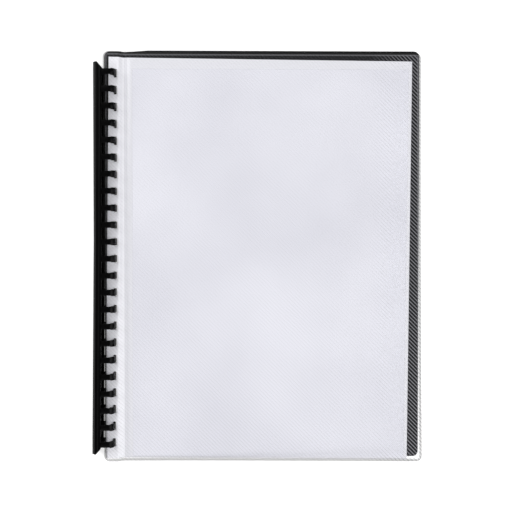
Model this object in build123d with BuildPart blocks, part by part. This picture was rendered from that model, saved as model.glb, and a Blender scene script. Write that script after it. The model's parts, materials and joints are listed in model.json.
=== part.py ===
"""A4 refillable clear pocket display book, closed and lying on its back cover.

A black spine of two hinged combs closes into a row of rings. The rings hold a black back cover, ten
clear top-loading pockets with white insert sheets, and a clear embossed front cover. Each sheet is
punched along its binding strip and folds beside the rings.

Frame: origin under the middle of the closed book, on the surface it lies on. +X runs from the spine
to the free edge, +Y to the top of the page, and +Z up through the front cover. Sizes are millimetres.
"""

from build123d import *
import math
import os

# Insert sheets: A4 paper
insert_width = 210.0
insert_height = 297.0
insert_thickness = 0.12
insert_clearance = 0.04  # to each film and to the bottom seam
insert_side_play = 1.45  # to each side seam

# Pocket leaves: two films welded on three sides, open at the top
leaf_count = 10
leaf_over_insert_top = 5.3
leaf_inset = 2.6  # the leaf's punched edge, in from the cover's
leaf_drop = 2.6  # the leaf's middle, below the book's
leaf_skew = 0.6  # degrees the leaves hang askew on the rings, clockwise
film_thickness = 0.12
strip_thickness = 0.3
seam_width = 1.2
fold_seam_width = 1.0
fold_seam_inset = 1.9

# Covers: stiff polypropylene sheet, creased beside the rings
cover_over_leaf_width = 10.6
cover_over_leaf_height = 6.6
cover_thickness = 0.7
cover_slip = 1.0  # the front cover hangs this much lower on the rings than the back one
cover_corner_radius = 4.2
crease_from_edge = 15.3  # from the punched edge to the fold
sheet_gap = 0.1  # air between two sheets of the stack
fold_gap = 0.15  # each side of a fold line

# The leaf is a binding strip and a pocket round the insert sheet, and the covers are larger than the leaf
pocket_left_from_fold = fold_seam_inset + fold_seam_width
pocket_width = insert_width + 2 * insert_side_play
leaf_width = crease_from_edge - leaf_inset + pocket_left_from_fold + pocket_width + seam_width
leaf_height = seam_width + insert_clearance + insert_height + leaf_over_insert_top
cover_width = leaf_width + cover_over_leaf_width
cover_height = leaf_height + cover_over_leaf_height

# Rings
ring_pitch = 12.7  # half an inch
ring_count = int(cover_height / ring_pitch) - 1  # as many as the covers have room for
ring_row_drop = 1.6  # the ring row's middle, below the book's
ring_height = 16.0
loop_length = 18.0  # from the spine's outer wall to the ring's far side
band_width = 4.5
band_thickness = 1.3

# Interlocking ring tips: a tongue on the upper arm seats in a fork on the lower one
tip_lap_angle = 8.0  # degrees round the ring, past the middle
tip_gap_angle = 1.2  # between a tip and the shoulder it faces
tip_root_angle = 1.0  # of the tip, inside its arm
tongue_width = 1.8
tongue_clearance = 0.2

# Spine rails
rail_width = 6.6
rail_past_ring = 7.3  # from an end ring's middle to the rail's end
rail_length = (ring_count - 1) * ring_pitch + 2 * rail_past_ring
rail_wall = 1.3
bevel_width = 2.1
bevel_height = 2.6
inner_bevel_shift = 0.43  # the bevel's inside, moved in from its outside
rail_groove_width = 0.6
rail_groove_depth = 0.35
rail_groove_from_edge = 2.6
rail_end_cut_width = 3.4
rail_end_cut_length = 4.0
hinge_lip = 0.35  # wall left where the two rails fold
hinge_notch = 0.9
hinge_gap = 0.05
rail_to_cover = 0.1

# Punched holes
hole_play_along = 1.3  # to each side of the ring's band, along the spine
hole_play_across = 0.4  # to each side of the ring's leg, across it
hole_corner_cut = 0.9
arm_clearance = 1.0  # under the lowest sheet, where the ring turns up
step_from_hole = 0.6  # where the strips start down to the surface the book lies on
step_before_fold = 0.5

# Places
ring_middle = ring_height / 2
spine_left = -(rail_width + rail_to_cover + cover_width) / 2
cover_left = spine_left + rail_width + rail_to_cover
cover_centre = cover_left + cover_width / 2
leaf_left = cover_left + leaf_inset
leaf_centre = leaf_left + leaf_width / 2
fold_x = cover_left + crease_from_edge
loop_centre = spine_left + loop_length - ring_middle  # axis of the ring's round side
ring_rows = [(i - (ring_count - 1) / 2) * ring_pitch - ring_row_drop for i in range(ring_count)]

pocket_gap = insert_thickness + 2 * insert_clearance
leaf_thickness = 2 * film_thickness + pocket_gap
leaf_pitch = leaf_thickness + sheet_gap
first_leaf_z = cover_thickness + sheet_gap
front_cover_z = first_leaf_z + leaf_count * leaf_pitch
strip_lift = band_thickness + arm_clearance  # the strips ride above the ring's lower arm
sheet_reach = cover_width + cover_height  # longer than any sheet, for cutting tools

# The hole spans the ring's leg at every height of the stack
inner_radius = ring_middle - band_thickness
lowest_sheet_drop = ring_middle - strip_lift
leg_inner_x = loop_centre + math.sqrt(inner_radius**2 - lowest_sheet_drop**2)
hole_left = leg_inner_x - hole_play_across
hole_right = spine_left + loop_length + hole_play_across
hole_length = hole_right - hole_left
hole_width = band_width + 2 * hole_play_along
step_start = hole_right + step_from_hole
step_end = fold_x - step_before_fold


def upright_plane(y, side=1):
    """Cross-section plane at y, from the spine's outer wall at the rings' mid height.

    Its second axis points up for the upper comb (side 1) and down for the lower one (side -1).
    """
    return Plane(origin=(spine_left, y, ring_middle), x_dir=(1, 0, 0), z_dir=(0, -side, 0))


def leaf_plane(z):
    """Plane of a leaf at height z, centred on the leaf and turned askew with it."""
    tilt = math.radians(leaf_skew)
    x_dir = (math.cos(tilt), -math.sin(tilt), 0)
    return Plane(origin=(leaf_centre, -leaf_drop, z), x_dir=x_dir, z_dir=(0, 0, 1))


def save(part, name):
    part.label = name
    export_step(part, f"parts/{name}.step")


# ---- Spine combs ----


def comb(side):
    """One half of the spine: a bevelled rail with an arm for each ring, in one moulding."""
    row_middle = -ring_row_drop
    inner_bevel_width = bevel_width + inner_bevel_shift
    inner_bevel_height = bevel_height + inner_bevel_shift
    groove_middle = rail_width - rail_groove_from_edge
    shoulder_angle = tip_lap_angle + tip_gap_angle
    arc_length = 90 - shoulder_angle
    loop_u = loop_length - ring_middle
    ring_centre = (loop_u, 0)
    arm_planes = [upright_plane(y, side) for y in ring_rows]

    with BuildPart() as half:
        # Rail: wall, bevel and grooved flat, thinned at the hinge line
        with BuildSketch(upright_plane(row_middle, side)):
            with BuildLine():
                Polyline(
                    (0, hinge_gap),
                    (0, ring_middle - bevel_height),
                    (bevel_width, ring_middle),
                    (groove_middle - rail_groove_width / 2, ring_middle),
                    (groove_middle, ring_middle - rail_groove_depth),
                    (groove_middle + rail_groove_width / 2, ring_middle),
                    (rail_width, ring_middle),
                    (rail_width, inner_radius),
                    (inner_bevel_width, inner_radius),
                    (rail_wall, ring_middle - inner_bevel_height),
                    (rail_wall, hinge_gap + hinge_notch),
                    (hinge_lip, hinge_gap),
                    close=True,
                )
            make_face()
        extrude(amount=rail_length / 2, both=True)

        # The rail's corners are cut away beyond the end rings
        with BuildSketch(Plane.XY.offset(ring_middle)):
            for end in (-1, 1):
                rail_end = row_middle + end * rail_length / 2
                edge = spine_left + rail_width
                with BuildLine():
                    Polyline(
                        (edge, rail_end),
                        (edge - rail_end_cut_width, rail_end),
                        (edge, rail_end - end * rail_end_cut_length),
                        close=True,
                    )
                make_face()
        extrude(amount=ring_height, both=True, mode=Mode.SUBTRACT)

        # Arms: a straight stretch over the sheets' edges, then a quarter turn into the holes
        with BuildSketch(*arm_planes):
            with BuildLine():
                outer_run = Line((rail_width, ring_middle), (loop_u, ring_middle))
                outer_arc = CenterArc(ring_centre, ring_middle, 90, -arc_length)
                inner_arc = CenterArc(ring_centre, inner_radius, 90, -arc_length)
                inner_run = Line((loop_u, inner_radius), (rail_width, inner_radius))
                Line(outer_arc @ 1, inner_arc @ 1)
                Line(inner_run @ 1, outer_run @ 0)
            make_face()
        extrude(amount=band_width / 2, both=True)

        # Tips: a tongue on the upper arms, two tines on the lower ones
        if side > 0:
            tip_places, tip_width = [0], tongue_width
        else:
            tip_width = (band_width - tongue_width) / 2 - tongue_clearance
            tip_places = [end * (band_width - tip_width) / 2 for end in (-1, 1)]
        tip_planes = [upright_plane(y + place, side) for y in ring_rows for place in tip_places]
        with BuildSketch(*tip_planes):
            with BuildLine():
                tip_start = shoulder_angle + tip_root_angle
                tip_turn = -(tip_start + tip_lap_angle)
                outer_tip = CenterArc(ring_centre, ring_middle, tip_start, tip_turn)
                inner_tip = CenterArc(ring_centre, inner_radius, tip_start, tip_turn)
                Line(outer_tip @ 0, inner_tip @ 0)
                Line(outer_tip @ 1, inner_tip @ 1)
            make_face()
        extrude(amount=tip_width / 2, both=True)
    return half.part


# ---- Covers ----


def cover_panel(z, middle_y):
    """The cover beyond its crease, flat, with rounded free corners."""
    with BuildPart() as panel:
        with BuildSketch(Plane.XY.offset(z)):
            with Locations((cover_centre, middle_y)):
                RectangleRounded(cover_width, cover_height, cover_corner_radius)
        extrude(amount=cover_thickness)
        split(bisect_by=Plane.YZ.offset(fold_x + fold_gap), keep=Keep.TOP)
    return panel.part


def stepped_section(left, z, thickness):
    """Section of a binding strip: level on the rings, then down a step to its fold."""
    underside = [
        (left, z + strip_lift),
        (step_start, z + strip_lift),
        (step_end, z),
        (fold_x - fold_gap, z),
    ]
    topside = [(x, height + thickness) for x, height in reversed(underside)]
    return underside + topside


def strip_blank(left, z, thickness):
    """A binding strip before trimming and punching, longer than any sheet."""
    with BuildPart() as blank:
        with BuildSketch(Plane.XZ):
            with BuildLine():
                Polyline(*stepped_section(left, z, thickness), close=True)
            make_face()
        extrude(amount=sheet_reach / 2, both=True)
    return blank.part


def hole_centres():
    return [((hole_left + hole_right) / 2, y) for y in ring_rows]


def cover_strip(z, middle_y):
    """The cover's punched binding strip, with rounded corners."""
    with BuildSketch() as hole:
        Rectangle(hole_length, hole_width)
        chamfer(hole.vertices(), hole_corner_cut)
    with BuildPart() as strip:
        add(strip_blank(cover_left, z, cover_thickness))
        with BuildSketch():
            with Locations((cover_centre, middle_y)):
                RectangleRounded(cover_width, cover_height, cover_corner_radius)
        extrude(amount=2 * ring_height, mode=Mode.INTERSECT)
        with BuildSketch():
            with Locations(*hole_centres()):
                add(hole.sketch)
        extrude(amount=2 * ring_height, mode=Mode.SUBTRACT)
    return strip.part


# ---- Pocket leaves ----


def leaf_strip(z):
    """The leaf's punched binding strip, trimmed to the leaf's own edges."""
    strip_z = z + (leaf_thickness - strip_thickness) / 2
    with BuildPart() as strip:
        add(strip_blank(cover_left, strip_z, strip_thickness))
        with BuildSketch(leaf_plane(0)):
            Rectangle(leaf_width, leaf_height)
        extrude(amount=2 * ring_height, mode=Mode.INTERSECT)
        with BuildSketch():
            with Locations(*hole_centres()):
                Rectangle(hole_length, hole_width)
        extrude(amount=2 * ring_height, mode=Mode.SUBTRACT)
    return strip.part


def pocket_film(z):
    """A flat film of the pocket, from the fold to the free edge."""
    with BuildPart() as film:
        with BuildSketch(leaf_plane(z)):
            Rectangle(leaf_width, leaf_height)
        extrude(amount=film_thickness)
        split(bisect_by=Plane.YZ.offset(fold_x + fold_gap), keep=Keep.TOP)
    return film.part


def pocket_seam(z):
    """The weld between the two films, which closes the pocket on three sides."""
    seam_left = fold_x - leaf_centre + fold_seam_inset
    inner_left = fold_x - leaf_centre + pocket_left_from_fold
    seam_right = leaf_width / 2
    inner_right = seam_right - seam_width
    bottom = -leaf_height / 2
    top = leaf_height / 2
    with BuildPart() as seam:
        with BuildSketch(leaf_plane(z)):
            with BuildLine():
                Polyline(
                    (seam_left, top),
                    (seam_left, bottom),
                    (seam_right, bottom),
                    (seam_right, top),
                    (inner_right, top),
                    (inner_right, bottom + seam_width),
                    (inner_left, bottom + seam_width),
                    (inner_left, top),
                    close=True,
                )
            make_face()
        extrude(amount=pocket_gap)
    return seam.part


def insert_sheet(z):
    """The paper sheet, standing on the pocket's bottom seam."""
    pocket_left = fold_x - leaf_centre + pocket_left_from_fold
    pocket_bottom = seam_width - leaf_height / 2
    middle = (pocket_left + pocket_width / 2, pocket_bottom + insert_clearance + insert_height / 2)
    with BuildPart() as sheet:
        with BuildSketch(leaf_plane(z + film_thickness + insert_clearance)):
            with Locations(middle):
                Rectangle(insert_width, insert_height)
        extrude(amount=insert_thickness)
    return sheet.part


# ---- The book ----

os.makedirs("parts", exist_ok=True)

save(comb(-1), "spine_lower_comb")
save(comb(1), "spine_upper_comb")
save(cover_strip(0, cover_slip / 2), "back_cover_strip")
save(cover_panel(0, cover_slip / 2), "back_cover_panel")
save(cover_strip(front_cover_z, -cover_slip / 2), "front_cover_strip")
save(cover_panel(front_cover_z, -cover_slip / 2), "front_cover_panel")

for leaf in range(leaf_count):
    leaf_z = first_leaf_z + leaf * leaf_pitch
    number = f"{leaf + 1:02d}"
    save(leaf_strip(leaf_z), f"leaf_strip_{number}")
    save(pocket_film(leaf_z), f"pocket_back_film_{number}")
    save(pocket_seam(leaf_z + film_thickness), f"pocket_seam_{number}")
    save(pocket_film(leaf_z + film_thickness + pocket_gap), f"pocket_front_film_{number}")
    save(insert_sheet(leaf_z), f"insert_sheet_{number}")

print("fold line x", round(fold_x, 3), "front fold z", round(front_cover_z + cover_thickness, 3))
print("hinge line x", round(spine_left, 3), "z", ring_middle)
print("hole from", round(hole_left, 3), "to", round(hole_right, 3))
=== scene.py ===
"""Refillable clear pocket display book, closed on its back cover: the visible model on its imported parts."""

import json
import math

import bmesh
import bpy
from mathutils import Euler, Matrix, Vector


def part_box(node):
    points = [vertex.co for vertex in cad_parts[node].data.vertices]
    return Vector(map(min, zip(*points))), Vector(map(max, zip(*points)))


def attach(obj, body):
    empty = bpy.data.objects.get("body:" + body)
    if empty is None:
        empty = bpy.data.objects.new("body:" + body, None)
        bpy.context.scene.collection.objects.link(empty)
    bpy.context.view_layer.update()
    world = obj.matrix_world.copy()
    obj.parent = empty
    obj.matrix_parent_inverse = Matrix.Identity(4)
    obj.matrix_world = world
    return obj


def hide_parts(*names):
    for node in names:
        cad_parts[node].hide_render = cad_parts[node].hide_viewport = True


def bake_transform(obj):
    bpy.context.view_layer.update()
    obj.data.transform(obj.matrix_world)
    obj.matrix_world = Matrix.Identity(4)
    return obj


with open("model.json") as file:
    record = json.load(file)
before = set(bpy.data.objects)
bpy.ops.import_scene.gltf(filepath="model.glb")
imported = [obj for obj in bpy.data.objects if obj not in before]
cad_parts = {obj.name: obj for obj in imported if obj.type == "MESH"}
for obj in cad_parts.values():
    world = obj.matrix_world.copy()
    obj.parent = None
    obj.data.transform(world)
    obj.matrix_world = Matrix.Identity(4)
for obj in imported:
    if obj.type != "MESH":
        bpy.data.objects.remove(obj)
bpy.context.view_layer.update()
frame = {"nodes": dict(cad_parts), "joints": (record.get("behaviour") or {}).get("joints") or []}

# ---- Ring spine ----
# A black polypropylene moulding: two toothed rails, folded on a thin hinge down their outer edge. Each tooth
# arches over the punched sheets, and its wide head seats a tongue between two tines of the tooth below, so
# that every pair closes into a ring. The lower half has bowed outwards a little.

mm = 0.001
comb_low, comb_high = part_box("spine_lower_comb")
upper_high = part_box("spine_upper_comb")[1]
spine_x = comb_low.x
ring_middle_z = (comb_low.z + upper_high.z) / 2
ring_half_height = (upper_high.z - comb_low.z) / 2
rail_middle_y = (comb_low.y + comb_high.y) / 2
ring_count = 23
ring_pitch = 12.7 * mm
ring_rows = [rail_middle_y + (i - (ring_count - 1) / 2) * ring_pitch for i in range(ring_count)]

bow_depth = 1.6 * mm
bow_start = rail_middle_y + 15 * mm
rail_width = 6.6 * mm
rail_profile = [  # out from the outer wall, down from the rail's flat, in millimetres
    (0, 7.95), (0, 2.6), (2.1, 0), (4.3, 0), (4.5, 0.35), (4.8, 0.35), (5.0, 0), (6.6, 0),
    (6.6, 1.3), (2.53, 1.3), (1.3, 3.03), (1.3, 7.05), (0.35, 7.95),
]  # fmt: skip
rail_softness = 0.28 * mm
end_cut_across, end_cut_along = 3.4 * mm, 4.0 * mm

loop_length = 16.3 * mm  # from the outer wall to the legs' outer faces
leg_x = spine_x + loop_length
loop_corner = 4.4 * mm
corner_steps = 12
band_root = 0.6 * mm  # how far a band starts inside its rail
band_half_width = 2.2 * mm
band_thickness = 1.3 * mm
band_softness = 0.42 * mm
head_half_width = 2.6 * mm
head_start = 3.3 * mm  # back from the leg's outer face
head_blend = 1.1 * mm
shoulder = 1.25 * mm
tip_root = 0.3 * mm
tip_lap = 1.1 * mm
tip_bevel_across, tip_bevel_along = 0.12 * mm, 0.3 * mm
tongue_half_width = 0.9 * mm
tine_clearance = 0.2 * mm
tine_half_width = (band_half_width - tongue_half_width - tine_clearance) / 2


def wall_at(y):
    """x of the spine's outer wall, with its bow."""
    return spine_x - bow_depth * max(0.0, bow_start - y) / (bow_start - comb_low.y)


def softened(outline, radius, steps=3):
    """The outline's corners, each rounded over by up to that radius."""
    made = []
    for i, corner in enumerate(outline):
        corner = Vector(corner)
        before = Vector(outline[i - 1]) - corner
        after = Vector(outline[(i + 1) % len(outline)]) - corner
        start = corner + before.normalized() * min(radius, before.length * 0.45)
        end = corner + after.normalized() * min(radius, after.length * 0.45)
        for step in range(steps + 1):
            t = step / steps
            made.append(start * (1 - t) ** 2 + corner * 2 * t * (1 - t) + end * t**2)
    return made


def add_loft(bm, rings):
    """Joins a row of equal point rings into one closed skin."""
    rows = [[bm.verts.new(point) for point in ring] for ring in rings]
    count = len(rows[0])
    for lower, upper in zip(rows, rows[1:]):
        for i in range(count):
            bm.faces.new((lower[i], lower[(i + 1) % count], upper[(i + 1) % count], upper[i]))
    bm.faces.new(rows[0])
    bm.faces.new(list(reversed(rows[-1])))


def add_band(bm, y, side, stations, half_width_at):
    """A band along stations on its outer face: out from the wall, up from the middle, the way it faces."""
    rings = []
    for out, up, facing in stations:
        half = half_width_at(out)
        corners = [(-half, -band_thickness), (half, -band_thickness), (half, 0), (-half, 0)]
        normal = Vector((math.cos(math.radians(facing)), 0, side * math.sin(math.radians(facing))))
        face = Vector((wall_at(y) + out, y, ring_middle_z + side * up))
        section = softened(corners, band_softness)
        rings.append([face + Vector((0, across, 0)) + normal * depth for across, depth in section])
    add_loft(bm, rings)


def add_object(name, data):
    made = bpy.data.objects.new(name, data)
    bpy.context.scene.collection.objects.link(made)
    return made


def smooth_piece(name, mesh, crease_angle):
    """Shades the mesh smooth between crisp edges, and puts it in the scene."""
    mesh.shade_smooth()
    mesh.set_sharp_from_angle(angle=math.radians(crease_angle))
    return add_object(name, mesh)


def moulded_piece(name, bm):
    bmesh.ops.recalc_face_normals(bm, faces=bm.faces)
    mesh = bpy.data.meshes.new(name)
    bm.to_mesh(mesh)
    bm.free()
    return smooth_piece(name, mesh, crease_angle=35)


def add_rail(bm, side):
    """The rail, with a slanted cut across the inner corner of each end."""
    outline = [(out * mm, ring_half_height - down * mm) for out, down in rail_profile]
    outline = softened(outline, rail_softness)
    rows = [comb_low.y, *ring_rows, comb_high.y]
    add_loft(bm, [[(wall_at(y) + out, y, ring_middle_z + side * up) for out, up in outline] for y in rows])
    for y, end in ((comb_low.y, -1), (comb_high.y, 1)):
        cut = bmesh.ops.bisect_plane(
            bm,
            geom=bm.verts[:] + bm.edges[:] + bm.faces[:],
            plane_co=(wall_at(y) + rail_width, y - end * end_cut_along, ring_middle_z),
            plane_no=Vector((end_cut_along, end * end_cut_across, 0)).normalized(),
            clear_outer=True,
        )
        cut_edges = [edge for edge in cut["geom_cut"] if isinstance(edge, bmesh.types.BMEdge)]
        bmesh.ops.holes_fill(bm, edges=cut_edges)


def tooth_half_width(out):
    """The band widens into its head just before it turns down."""
    share = min(1.0, max(0.0, (out - loop_length + head_start) / head_blend))
    return band_half_width + (head_half_width - band_half_width) * share


def spine_comb(name, side):
    """One toothed rail: side 1 lies on the sheets, side -1 under them."""
    bm = bmesh.new()
    add_rail(bm, side)
    corner_out, corner_up = loop_length - loop_corner, ring_half_height - loop_corner
    tooth = [(rail_width - band_root, ring_half_height, 90)]
    for step in range(corner_steps + 1):
        facing = 90 - 90 * step / corner_steps
        turn = math.radians(facing)
        out, up = corner_out + loop_corner * math.cos(turn), corner_up + loop_corner * math.sin(turn)
        tooth.append((out, up, facing))
    tooth.append((loop_length, shoulder, 0))
    tip = [(loop_length, up, 0) for up in (shoulder + tip_root, 0, tip_bevel_along - tip_lap)]
    tip.append((loop_length - tip_bevel_across, -tip_lap, 0))
    for y in ring_rows:
        add_band(bm, y, side, tooth, tooth_half_width)
        if side > 0:
            add_band(bm, y, side, tip, lambda out: tongue_half_width)
            continue
        for end in (-1, 1):
            tine_y = y + end * (band_half_width - tine_half_width)
            add_band(bm, tine_y, side, tip, lambda out: tine_half_width)
    return moulded_piece(name, bm)


lower_comb = spine_comb("lower_comb", -1)
upper_comb = spine_comb("upper_comb", 1)


class Wire:
    """A node's output socket. Arithmetic on it adds Math nodes to its material."""

    def __init__(self, tree, socket=None):
        self.tree, self.socket = tree, socket

    def node(self, kind, settings=None, sockets=None, out=0):
        """Adds a node: its settings first, then the values or links of its sockets."""
        made = self.tree.nodes.new("ShaderNode" + kind)
        for name, value in (settings or {}).items():
            setattr(made, name, value)
        for name, value in (sockets or {}).items():
            if isinstance(value, Wire):
                self.tree.links.new(value.socket, made.inputs[name])
            else:
                made.inputs[name].default_value = value
        return Wire(self.tree, made.outputs[out] if made.outputs else None)

    def math(self, operation, *others):
        return self.node("Math", {"operation": operation}, dict(enumerate((self, *others))))

    def __add__(self, other):
        return self.math("ADD", other)

    __radd__ = __add__

    def __sub__(self, other):
        return self.math("SUBTRACT", other)

    def __rsub__(self, other):
        return self.node("Math", {"operation": "SUBTRACT"}, {0: other, 1: self})

    def __mul__(self, other):
        return self.math("MULTIPLY", other)

    __rmul__ = __mul__

    def __pow__(self, other):
        return self.math("POWER", other)

    def __rpow__(self, other):
        return self.node("Math", {"operation": "POWER"}, {0: other, 1: self})

    def clamped(self):
        return self.math("MAXIMUM", 0.0).math("MINIMUM", 1.0)

    def mixed(self, first, second):
        """first where this is 0 and second where it is 1, as colours."""
        return self.node("Mix", {"data_type": "RGBA"}, {0: self, 6: first, 7: second}, out=2)

    def bump(self, strength, distance):
        """A normal that is raised where this is high."""
        return self.node("Bump", {}, {"Height": self, "Strength": strength, "Distance": distance})

    def show(self, kind="OutputMaterial"):
        """Makes this shader the surface."""
        self.node(kind, {}, {"Surface": self})


def new_material(name):
    """A bare material, and the wire that its nodes start from."""
    material = bpy.data.materials.new(name)
    material.use_nodes = True
    material.node_tree.nodes.clear()
    return material, Wire(material.node_tree)


def give(piece, material):
    piece.data.materials.clear()
    piece.data.materials.append(material)


spine_black, wire = new_material("moulded_black_polypropylene")
place = wire.node("TexCoord", out=3)
mottle = wire.node("TexNoise", {}, {"Vector": place, "Scale": 45.0, "Detail": 3.0})
grain = wire.node("TexNoise", {}, {"Vector": place, "Scale": 2600.0, "Detail": 2.0})
surface = {
    "Base Color": mottle.mixed((0.0005, 0.0005, 0.0006, 1), (0.0016, 0.0016, 0.0018, 1)),
    "Roughness": 0.17 + mottle * 0.1,
    "Specular IOR Level": 0.09,
    "Normal": grain.bump(0.12, 0.05 * mm),
}
wire.node("BsdfPrincipled", {}, surface).show()
for comb, body, node in (
    (lower_comb, "binding", "spine_lower_comb"),
    (upper_comb, "upper_comb", "spine_upper_comb"),
):
    give(comb, spine_black)
    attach(comb, body)
    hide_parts(node)

# ---- Living hinge ----
# A strip of the same moulding joins the two rails down their outer wall. It is thinned to 0.3 mm, so that
# the rails fold on it when the rings are opened.

hinge_half_height = 0.7 * mm
hinge_thickness = 0.3 * mm
hinge_inset = 0.02 * mm  # behind the outer wall
hinge_end_inset = 0.4 * mm
hinge_heights = [ring_middle_z + hinge_half_height * (i / 4 - 1) for i in range(9)]
hinge_outline = [(hinge_inset, z) for z in hinge_heights]
hinge_outline += [(hinge_thickness, z) for z in reversed(hinge_heights)]
hinge_rows = [comb_low.y + hinge_end_inset, *ring_rows, comb_high.y - hinge_end_inset]
hinge_skin = bmesh.new()
add_loft(hinge_skin, [[(wall_at(y) + out, y, z) for out, z in hinge_outline] for y in hinge_rows])
living_hinge = moulded_piece("living_hinge", hinge_skin)
give(living_hinge, spine_black)
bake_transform(living_hinge)

# ---- Back cover ----
# A 0.7 mm sheet of black polypropylene with rounded corners. It is punched along its left edge to go over
# the lower teeth, steps down beside the rings, and is pressed to a thin line there, where it folds.

fold = next(joint for joint in frame["joints"] if joint["name"] == "front_cover_fold")
fold_x = fold["pos_m"][0]
leaf_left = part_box("front_cover_strip")[0].x + 2.6 * mm  # the leaves' punched edge
hole_high_x = leg_x + 1.0 * mm
hole_low_x = hole_high_x - 3.1 * mm
hole_middle_x = (hole_low_x + hole_high_x) / 2
hole_half_reach = (hole_high_x - hole_low_x) / 2
hole_half_width = 3.3 * mm
hole_corner = 1.4 * mm
half_pitch = ring_pitch / 2
strip_lift = 2.3 * mm
step_start = hole_high_x + 0.6 * mm
step_end = fold_x - 0.5 * mm
crease_half_width = 0.55 * mm
crease_run = 1.2 * mm, 2.2 * mm  # the last close grid lines past the fold


def steps_between(start, end, count):
    """The places that divide start to end into that many steps, without the ends."""
    return [start + (end - start) * i / count for i in range(1, count)]


def ease(value):
    value = min(1.0, max(0.0, value))
    return value * value * (3 - 2 * value)


def strip_rise(x):
    """How far the punched strip rides up over the teeth at x."""
    return strip_lift * (1 - ease((x - step_start) / (step_end - step_start)))


def follow_spine(x, y):
    """How far the spine's bow draws the holes along X. The sheet's edge and its fold stay where they are."""
    from_edge = (x - leaf_left) / (hole_low_x - leaf_left)
    from_fold = (fold_x - x) / (fold_x - hole_high_x)
    return (wall_at(y) - spine_x) * ease(min(from_edge, from_fold))


def sheet_columns(low, high, margin, corner, panel_steps):
    """Places of the sheet's grid lines from its punched edge to its free edge."""
    columns = [low, *steps_between(low, low + margin, 3), low + margin]
    columns += [hole_low_x, hole_low_x + hole_corner, hole_high_x - hole_corner, hole_high_x]
    columns += [step_start, *steps_between(step_start, step_end, 5), step_end]
    columns += [fold_x + crease_half_width * share for share in (-0.5, 0, 0.5, 1)]
    columns += [fold_x + run for run in crease_run]
    columns += [*steps_between(columns[-1], high - corner, panel_steps), high - corner]
    if corner:
        columns += [*steps_between(high - corner, high, 3), high]
    return columns


def sheet_rows(low, high, corner):
    """Places of the sheet's grid lines from its bottom edge to its top one, four to a hole."""
    rows = [low]
    if corner:
        rows += [*steps_between(low, low + corner, 3), low + corner]
    for y in ring_rows:
        rows += [y - half_pitch, y - hole_half_width, y - hole_half_width + hole_corner]
        rows += [y + hole_half_width - hole_corner, y + hole_half_width]
    rows.append(ring_rows[-1] + half_pitch)
    if corner:
        rows += [high - corner, *steps_between(high - corner, high, 3)]
    return [*rows, high]


def punched_grid(columns, rows):
    """The flat sheet's points, and its faces round holes with rounded corners."""
    points, faces, found = [], [], {}

    def point(x, y):
        key = (round(x * 1e8), round(y * 1e8))
        if key not in found:
            found[key] = len(points)
            points.append((x, y))
        return found[key]

    for left, right in zip(columns, columns[1:]):
        for low, high in zip(rows, rows[1:]):
            x, y = (left + right) / 2, (low + high) / 2
            hole_y = min(ring_rows, key=lambda row: abs(row - y))
            across, along = abs(x - hole_middle_x), abs(y - hole_y)
            if across > hole_half_reach or along > hole_half_width:
                faces.append([point(left, low), point(right, low), point(right, high), point(left, high)])
                continue
            if across < hole_half_reach - hole_corner or along < hole_half_width - hole_corner:
                continue
            outer_x, inner_x = (left, right) if x < hole_middle_x else (right, left)
            outer_y, inner_y = (low, high) if y < hole_y else (high, low)
            arc = []
            for turn in (0, math.pi / 6, math.pi / 3, math.pi / 2):
                arc_x = inner_x + (outer_x - inner_x) * math.cos(turn)
                arc_y = inner_y + (outer_y - inner_y) * math.sin(turn)
                arc.append(point(arc_x, arc_y))
            mirrored = (outer_x > inner_x) != (outer_y > inner_y)
            for first, second in zip(arc, arc[1:]):
                face = [point(outer_x, outer_y), first, second]
                faces.append(face[::-1] if mirrored else face)
    return points, faces


def build_sheet(name, columns, rows, place, thickness_at, border_at=None):
    """A punched sheet with both its faces and its cut edges.

    place gives a grid point's spot in the frame, and border_at how much of the border's look it has.
    """
    points, faces = punched_grid(columns, rows)
    spots = [place(x, y) for x, y in points]
    halves = [thickness_at(x, y) / 2 for x, y in points]
    vertices = [(x, y, z + half) for (x, y, z), half in zip(spots, halves)]
    vertices += [(x, y, z - half) for (x, y, z), half in zip(spots, halves)]
    count = len(points)
    skin = [list(face) for face in faces] + [[i + count for i in reversed(face)] for face in faces]
    edges = {(face[i - 1], face[i]) for face in faces for i in range(len(face))}
    skin += [[b, a, a + count, b + count] for a, b in edges if (b, a) not in edges]
    mesh = bpy.data.meshes.new(name)
    mesh.from_pydata(vertices, [], skin)
    flat = mesh.uv_layers.new(name="flat_sheet")
    for loop in mesh.loops:
        flat.data[loop.index].uv = spots[loop.vertex_index % count][:2]
    if border_at:
        border = mesh.attributes.new("border", "FLOAT", "POINT")
        border.data.foreach_set("value", [border_at(x, y) for x, y in points] * 2)
    return smooth_piece(name, mesh, crease_angle=40)


def rounded_corner(x, y, low, high, radius):
    """Draws a point of the sheet's square corners in to a round one."""
    across = max(low[0] + radius - x, 0) or min(high[0] - radius - x, 0)
    along = max(low[1] + radius - y, 0) or min(high[1] - radius - y, 0)
    u, v = -across / radius, -along / radius
    return (
        x + across + radius * u * math.sqrt(1 - v * v / 2),
        y + along + radius * v * math.sqrt(1 - u * u / 2),
    )


def fold_between(piece):
    """Bakes the sheet's placement into its mesh."""
    reach = 1.1 * mm
    fold_x - reach
    fold_x + reach
    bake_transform(piece)


cover_thickness = 0.7 * mm
cover_corner = 4.2 * mm
punch_margin = 4.2 * mm
crease_depth = 0.45  # of the cover's thickness


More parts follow.
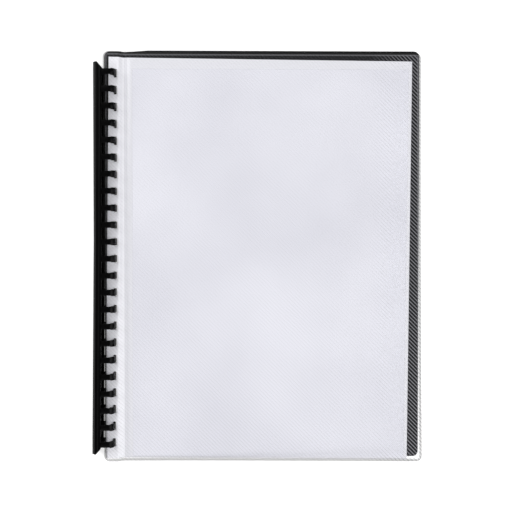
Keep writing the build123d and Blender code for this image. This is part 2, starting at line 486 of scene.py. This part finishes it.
def cover_sheet(name, strip, panel, bend_at, border_at=None):
    """A whole cover over its strip and panel. bend_at moves a point of the flat sheet along x, y and z."""
    low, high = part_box(strip)[0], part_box(panel)[1]
    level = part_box(panel)[0].z + cover_thickness / 2

    def place(x, y):
        flat_x, flat_y = rounded_corner(x, y, low, high, cover_corner)
        return Vector((flat_x + follow_spine(x, y), flat_y, level + strip_rise(x))) + bend_at(x, y)

    def thickness(x, y):
        pressed = ease(1 - abs(x - fold_x) / crease_half_width)
        return cover_thickness * (1 - crease_depth * pressed)

    columns = sheet_columns(low.x, high.x, punch_margin, cover_corner, 14)
    rows = sheet_rows(low.y, high.y, cover_corner)
    piece = build_sheet(name, columns, rows, place, thickness, border_at)
    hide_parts(strip, panel)
    return piece


extra_reach = 1.2 * mm
extra_reach_run = 12 * mm
back_top_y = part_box("back_cover_panel")[1].y


def reach_up(x, y):
    """Beyond its crease the sheet reaches a little further up the page than it does on the rings."""
    return Vector((0, extra_reach * ease((x - fold_x) / extra_reach_run) * max(0.0, y / back_top_y), 0))


back_cover = cover_sheet("back_cover_sheet", "back_cover_strip", "back_cover_panel", reach_up)
sheet_black, wire = new_material("black_polypropylene_sheet")
place = wire.node("UVMap", {"uv_map": "flat_sheet"})
mottle = wire.node("TexNoise", {}, {"Vector": place, "Scale": 14.0, "Detail": 4.0})
grain = wire.node("TexNoise", {}, {"Vector": place, "Scale": 1700.0, "Detail": 2.0})
surface = {
    "Base Color": mottle.mixed((0.001, 0.0012, 0.002, 1), (0.0025, 0.003, 0.0042, 1)),
    "Roughness": 0.36 + mottle * 0.12,
    "Specular IOR Level": 0.18,
    "Normal": grain.bump(0.18, 0.06 * mm),
}
wire.node("BsdfPrincipled", {}, surface).show()
give(back_cover, sheet_black)
fold_between(back_cover)

# ---- Pocket leaves ----
# Ten clear pockets. Each is a back film that runs on into the punched strip and a front film welded to it
# down the fold, along the bottom and down the free edge. The top is left open for the insert. The leaves
# hang a little askew on the rings.

leaf_count = 10
film_thickness = 0.12 * mm
strip_thickness = 0.3 * mm
leaf_thickness = 0.44 * mm
leaf_width, leaf_height = 229.7 * mm, 303.54 * mm
leaf_middle = Vector((leaf_left + leaf_width / 2, -2.6 * mm))
leaf_skew = math.radians(0.6)
leaf_low = leaf_middle - Vector((leaf_width, leaf_height)) / 2
leaf_high = leaf_middle + Vector((leaf_width, leaf_height)) / 2
leaf_margin = 2.4 * mm
bind_x = leaf_left + leaf_margin
bottom_row, top_row = ring_rows[0] - half_pitch, ring_rows[-1] + half_pitch  # grid lines stay level between
edge_weld = 1.2 * mm
edge_weld_flat = 0.7 * mm
fold_weld_start, fold_weld_flat, fold_weld_end = (fold_x + run * mm for run in (1.9, 2.5, 2.9))
insert_left, insert_right = fold_x + 6.2 * mm, leaf_high.x - 2.65 * mm  # where every insert is under the film
insert_bottom, insert_top = leaf_low.y + edge_weld, top_row - 2.6 * mm
milk_blend = 0.05 * mm
stack_milk = 0.76  # round the insert


def leaf_side(y, u):
    """x of the skewed line that lies u from the leaf's middle, at height y on the page."""
    s = (y - leaf_middle.y + u * math.sin(leaf_skew)) / math.cos(leaf_skew)
    return leaf_middle.x + u * math.cos(leaf_skew) + s * math.sin(leaf_skew)


def leaf_end(x, s):
    """y of the skewed line that lies s above the leaf's middle, at x."""
    u = (x - leaf_middle.x - s * math.sin(leaf_skew)) / math.cos(leaf_skew)
    return leaf_middle.y - u * math.sin(leaf_skew) + s * math.cos(leaf_skew)


def stretched(value, fixed, edge, target):
    """Moves a grid line that lies between a fixed one and the nominal edge in step with the real edge."""
    return fixed + (value - fixed) * (target - fixed) / (edge - fixed)


def skewed(x, y):
    """A leaf's upright grid point, moved so that the outer lines follow the skewed outline."""
    if x < bind_x:
        x = stretched(x, bind_x, leaf_left, leaf_side(y, -leaf_width / 2))
    elif x > fold_x:
        x = stretched(x, fold_x, leaf_left + leaf_width, leaf_side(y, leaf_width / 2))
    if y > top_row:
        y = stretched(y, top_row, leaf_high.y, leaf_end(x, leaf_height / 2))
    elif y < bottom_row:
        y = stretched(y, bottom_row, leaf_low.y, leaf_end(x, -leaf_height / 2))
    return x, y


def milkiness(x, y):
    """0 over the insert, 1 on the strips, and nearly that round the insert, where the stack looks white."""
    if x < fold_x:
        return 1.0
    inside = min(x - insert_left, insert_right - x, y - insert_bottom, insert_top - y)
    return stack_milk * (1 - min(1.0, max(0.0, inside / milk_blend)))


def back_film(number):
    """The pocket's back film, and the punched strip that it thickens into."""
    film_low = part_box(f"pocket_back_film_{number}")[0].z

    def strip_share(x):
        return ease((step_end - x) / (step_end - step_start))

    def place(x, y):
        flat_x, flat_y = skewed(x, y)
        middle_z = film_low + film_thickness / 2 + (leaf_thickness - film_thickness) / 2 * strip_share(x)
        return flat_x + follow_spine(x, y), flat_y, middle_z + strip_rise(x)

    def thickness(x, y):
        return film_thickness + (strip_thickness - film_thickness) * strip_share(x)

    columns = sheet_columns(leaf_low.x, insert_left, leaf_margin, 0, 2)
    columns.append(insert_left + milk_blend)
    columns += steps_between(columns[-1], insert_right - milk_blend, 3)
    columns += [insert_right - milk_blend, insert_right, leaf_high.x - edge_weld, leaf_high.x]
    rows = sheet_rows(leaf_low.y, leaf_high.y, 0)
    rows += [insert_bottom, insert_bottom + milk_blend, insert_top - milk_blend, insert_top]
    return build_sheet(f"leaf_{number}_back_film", columns, sorted(rows), place, thickness, milkiness)


def front_film(number):
    """The pocket's front film: down on the back film at its welds and clear of the insert between them."""
    weld_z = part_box(f"pocket_back_film_{number}")[0].z + 1.5 * film_thickness
    open_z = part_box(f"pocket_front_film_{number}")[1].z - film_thickness / 2
    columns = [fold_weld_start, fold_weld_flat, fold_weld_end, insert_left, insert_left + milk_blend]
    columns += steps_between(columns[-1], insert_right - milk_blend, 6)
    columns += [insert_right - milk_blend, insert_right]
    columns += [leaf_high.x - inset for inset in (edge_weld, edge_weld_flat, 0)]
    rows = [leaf_low.y, leaf_low.y + edge_weld_flat, insert_bottom, insert_bottom + milk_blend]
    rows += steps_between(rows[-1], insert_top - milk_blend, 8)
    rows += [insert_top - milk_blend, insert_top, top_row, leaf_high.y]

    def openness(x, y):
        """0 on the welds and 1 over the insert."""
        from_fold = (x - fold_weld_flat) / (fold_weld_end - fold_weld_flat)
        from_edge = (leaf_high.x - edge_weld_flat - x) / (edge_weld - edge_weld_flat)
        from_bottom = (y - leaf_low.y - edge_weld_flat) / (edge_weld - edge_weld_flat)
        return min(1.0, max(0.0, min(from_fold, from_edge, from_bottom)))

    def place(x, y):
        return (*skewed(x, y), weld_z + (open_z - weld_z) * openness(x, y))

    def thickness(x, y):
        return film_thickness

    return build_sheet(f"leaf_{number}_front_film", columns, rows, place, thickness, milkiness)


film_clear, wire = new_material("clear_pocket_film")
place = wire.node("UVMap", {"uv_map": "flat_sheet"})
milk = wire.node("Attribute", {"attribute_name": "border"}, out=2)
ripple = wire.node("TexNoise", {}, {"Vector": place, "Scale": 60.0, "Detail": 2.0})
surface = {
    "Base Color": milk.mixed((0.86, 0.86, 0.91, 1), (0.91, 0.91, 0.955, 1)),
    "Roughness": 0.16 + ripple * 0.1,
    "IOR": 1.45,
    "Alpha": 0.03 + milk * 0.93,
    "Normal": ripple.bump(0.25, 0.4 * mm),
}
wire.node("BsdfPrincipled", {}, surface).show()
for leaf in range(1, leaf_count + 1):
    number = f"{leaf:02d}"
    back, front = back_film(number), front_film(number)
    for film in (back, front):
        give(film, film_clear)
    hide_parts(f"leaf_strip_{number}", f"pocket_back_film_{number}")
    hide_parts(f"pocket_front_film_{number}", f"pocket_seam_{number}")
    fold_between(back)
    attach(front, f"leaf_{number}")

# ---- Insert sheets ----
# A sheet of plain white A4 paper stands in each pocket. It is cut to size and loose, so that it slides out
# of the open top.

paper, wire = new_material("white_paper")
place = wire.node("TexCoord", out=3)
# Painted shade: broad soft patches, darker and lighter, stand in for the light and shade over the leaves'
# gentle waves; the paper itself is plain white.
wave_shade = wire.node("TexNoise", {}, {"Vector": place, "Scale": 9.0, "Detail": 2.0})
fibre = wire.node("TexNoise", {}, {"Vector": place, "Scale": 1400.0, "Detail": 4.0})
surface = {
    "Base Color": wave_shade.mixed((0.60, 0.60, 0.66, 1), (0.86, 0.86, 0.915, 1)),
    "Roughness": 0.8 + fibre * 0.15,
    "Specular IOR Level": 0.2,
    "Normal": fibre.bump(0.1, 0.05 * mm),
}
wire.node("BsdfPrincipled", {}, surface).show()
for leaf in range(1, leaf_count + 1):
    give(frame["nodes"][f"insert_sheet_{leaf:02d}"], paper)

# ---- Front cover ----
# A 0.7 mm sheet of clear polypropylene, embossed all over with fine slanting ribs. It is cut, punched and
# creased as the back cover is, hangs a little lower on the rings, and springs up at its lower free corner.

corner_spring = Vector((0.1, 0.7, 8.6)) * mm
edge_shade_width = 1.5 * mm
rib_pitch = 2.1 * mm  # across the ribs
glare_start, glare_run = 85 * mm, 30 * mm  # towards the free edge, where the lifted cover catches more light, painted on as sheen
page_half_height = 160 * mm
cover_low, cover_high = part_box("front_cover_strip")[0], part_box("front_cover_panel")[1]


def spring_up(x, y):
    """How far the cover springs out and up off the leaves."""
    across = max(0.0, (x - fold_x) / (cover_high.x - fold_x))
    down = (cover_high.y - y) / (cover_high.y - cover_low.y)
    return corner_spring * across**1.5 * down**1.7


def painted_edge_shade(x, y):
    """1 along the cut outline, where shade is painted on as a grey band, and 0 inside it."""
    inset = min(x - cover_low.x, cover_high.x - x, y - cover_low.y, cover_high.y - y)
    return 1.0 if inset < edge_shade_width else 0.0


front_cover = cover_sheet(
    "front_cover_sheet", "front_cover_strip", "front_cover_panel", spring_up, painted_edge_shade
)
cover_clear, wire = new_material("clear_ribbed_polypropylene")
place = wire.node("UVMap", {"uv_map": "flat_sheet"})
along_x, along_y = (wire.node("SeparateXYZ", {}, {"Vector": place}, out=axis) for axis in "XY")
edge_shade = wire.node("Attribute", {"attribute_name": "border"}, out=2)
rib_turns = 2 * math.pi / (rib_pitch * math.sqrt(2))
rib = 0.5 + 0.5 * ((along_x + along_y) * rib_turns).math("SINE")
crest = rib**6
# Painted sheen: the ribs are real, but their whitish crests are painted, and grow stronger towards the lifted
# free edge and the bottom, where the cover catches more light.
to_edge = ((along_x - glare_start) * (1 / glare_run)).clamped()
to_bottom = (along_y * (-1 / page_half_height)).math("MAXIMUM", 0.0)
glare = 0.024 + 0.03 * to_bottom + 0.15 * to_edge
surface = {
    # Painted shade: near-black colour and extra opacity along the outline stand in for the dark refraction at
    # the cut edge and the table's shadow under the overhang.
    "Base Color": edge_shade.mixed((0.84, 0.84, 0.9, 1), (0.02, 0.02, 0.019, 1)),
    "Roughness": 0.18 + rib * 0.08,
    "IOR": 1.49,
    "Alpha": 0.005 + crest * glare + edge_shade * 0.28,
    "Normal": rib.bump(0.5, 0.08 * mm),
}
wire.node("BsdfPrincipled", {}, surface).show()
give(front_cover, cover_clear)
fold_between(front_cover)

# ---- Table, lamps and camera ----
# The book lies on a white table between three soft studio lamps, and the table shines a little where it is
# seen, so that it shows white. The camera looks down from 0.65 m, about a degree off plumb.

table_half_size = 6.0
table_drop = 0.3 * mm  # under the cover
table_mesh = bpy.data.meshes.new("table_top")
table_mesh.from_pydata(
    [(x * table_half_size, y * table_half_size, 0) for x, y in ((-1, -1), (1, -1), (1, 1), (-1, 1))],
    [],
    [(0, 1, 2, 3)],
)
table_top = add_object("table_top", table_mesh)
table_top.location.z = -table_drop
table_white, wire = new_material("white_table")
camera_ray, glossy_ray, passed_ray = (
    wire.node("LightPath", out=f"Is {kind} Ray") for kind in ("Camera", "Glossy", "Transmission")
)
seen = (camera_ray + glossy_ray + passed_ray).math("MINIMUM", 1.0)
plain = wire.node("BsdfDiffuse", {}, {"Color": (0.8, 0.8, 0.8, 1)})
shine = wire.node("Emission", {}, {"Color": (1, 1, 1, 1), "Strength": 0.5})
dark = wire.node("Emission", {}, {"Color": (0, 0, 0, 1), "Strength": 0.0})
lit = wire.node("MixShader", {}, {0: seen, 1: dark, 2: shine})
wire.node("AddShader", {}, {0: plain, 1: lit}).show()
give(table_top, table_white)

world = bpy.data.worlds.new("studio")
bpy.context.scene.world = world
world.use_nodes = True
world.node_tree.nodes.clear()
wire = Wire(world.node_tree)
camera_ray = wire.node("LightPath", out="Is Camera Ray")
room = wire.node("Background", {}, {"Color": (1, 1, 1, 1), "Strength": 0.2})
backdrop = wire.node("Background", {}, {"Color": (1, 1, 1, 1), "Strength": 1.0})
wire.node("MixShader", {}, {0: camera_ray, 1: room, 2: backdrop}).show("OutputWorld")


def soft_lamp(name, spot, size, power):
    lamp = bpy.data.lights.new(name, "AREA")
    lamp.shape, lamp.size, lamp.energy = "DISK", size, power
    holder = add_object(name, lamp)
    holder.location = spot
    holder.rotation_euler = (-Vector(spot)).to_track_quat("-Z", "Y").to_euler()


soft_lamp("key_lamp", (-1.3, 1.1, 1.5), 2.0, 36)
soft_lamp("fill_lamp", (1.6, -0.4, 1.5), 2.0, 26)
soft_lamp("front_lamp", (-0.3, -1.7, 1.5), 2.0, 18)

bpy.context.scene.cycles.transparent_max_bounces = 48  # past every film of the ten pockets
camera_data = bpy.data.cameras.new("camera")
camera_data.sensor_width = 36.0
camera_data.lens = 59.5
camera_data.clip_end = 50
camera = add_object("camera", camera_data)
lean, side_lean = math.radians(1.131), math.radians(0.905)
turn = Euler((-lean, -side_lean, 0), "XYZ")
camera.rotation_mode = "XYZ"
camera.rotation_euler = turn
camera.location = turn.to_matrix() @ Vector((-1.51 * mm, 0.15 * mm, 650 * mm))
bpy.context.scene.camera = camera
bpy.context.scene.view_settings.view_transform = "Standard"
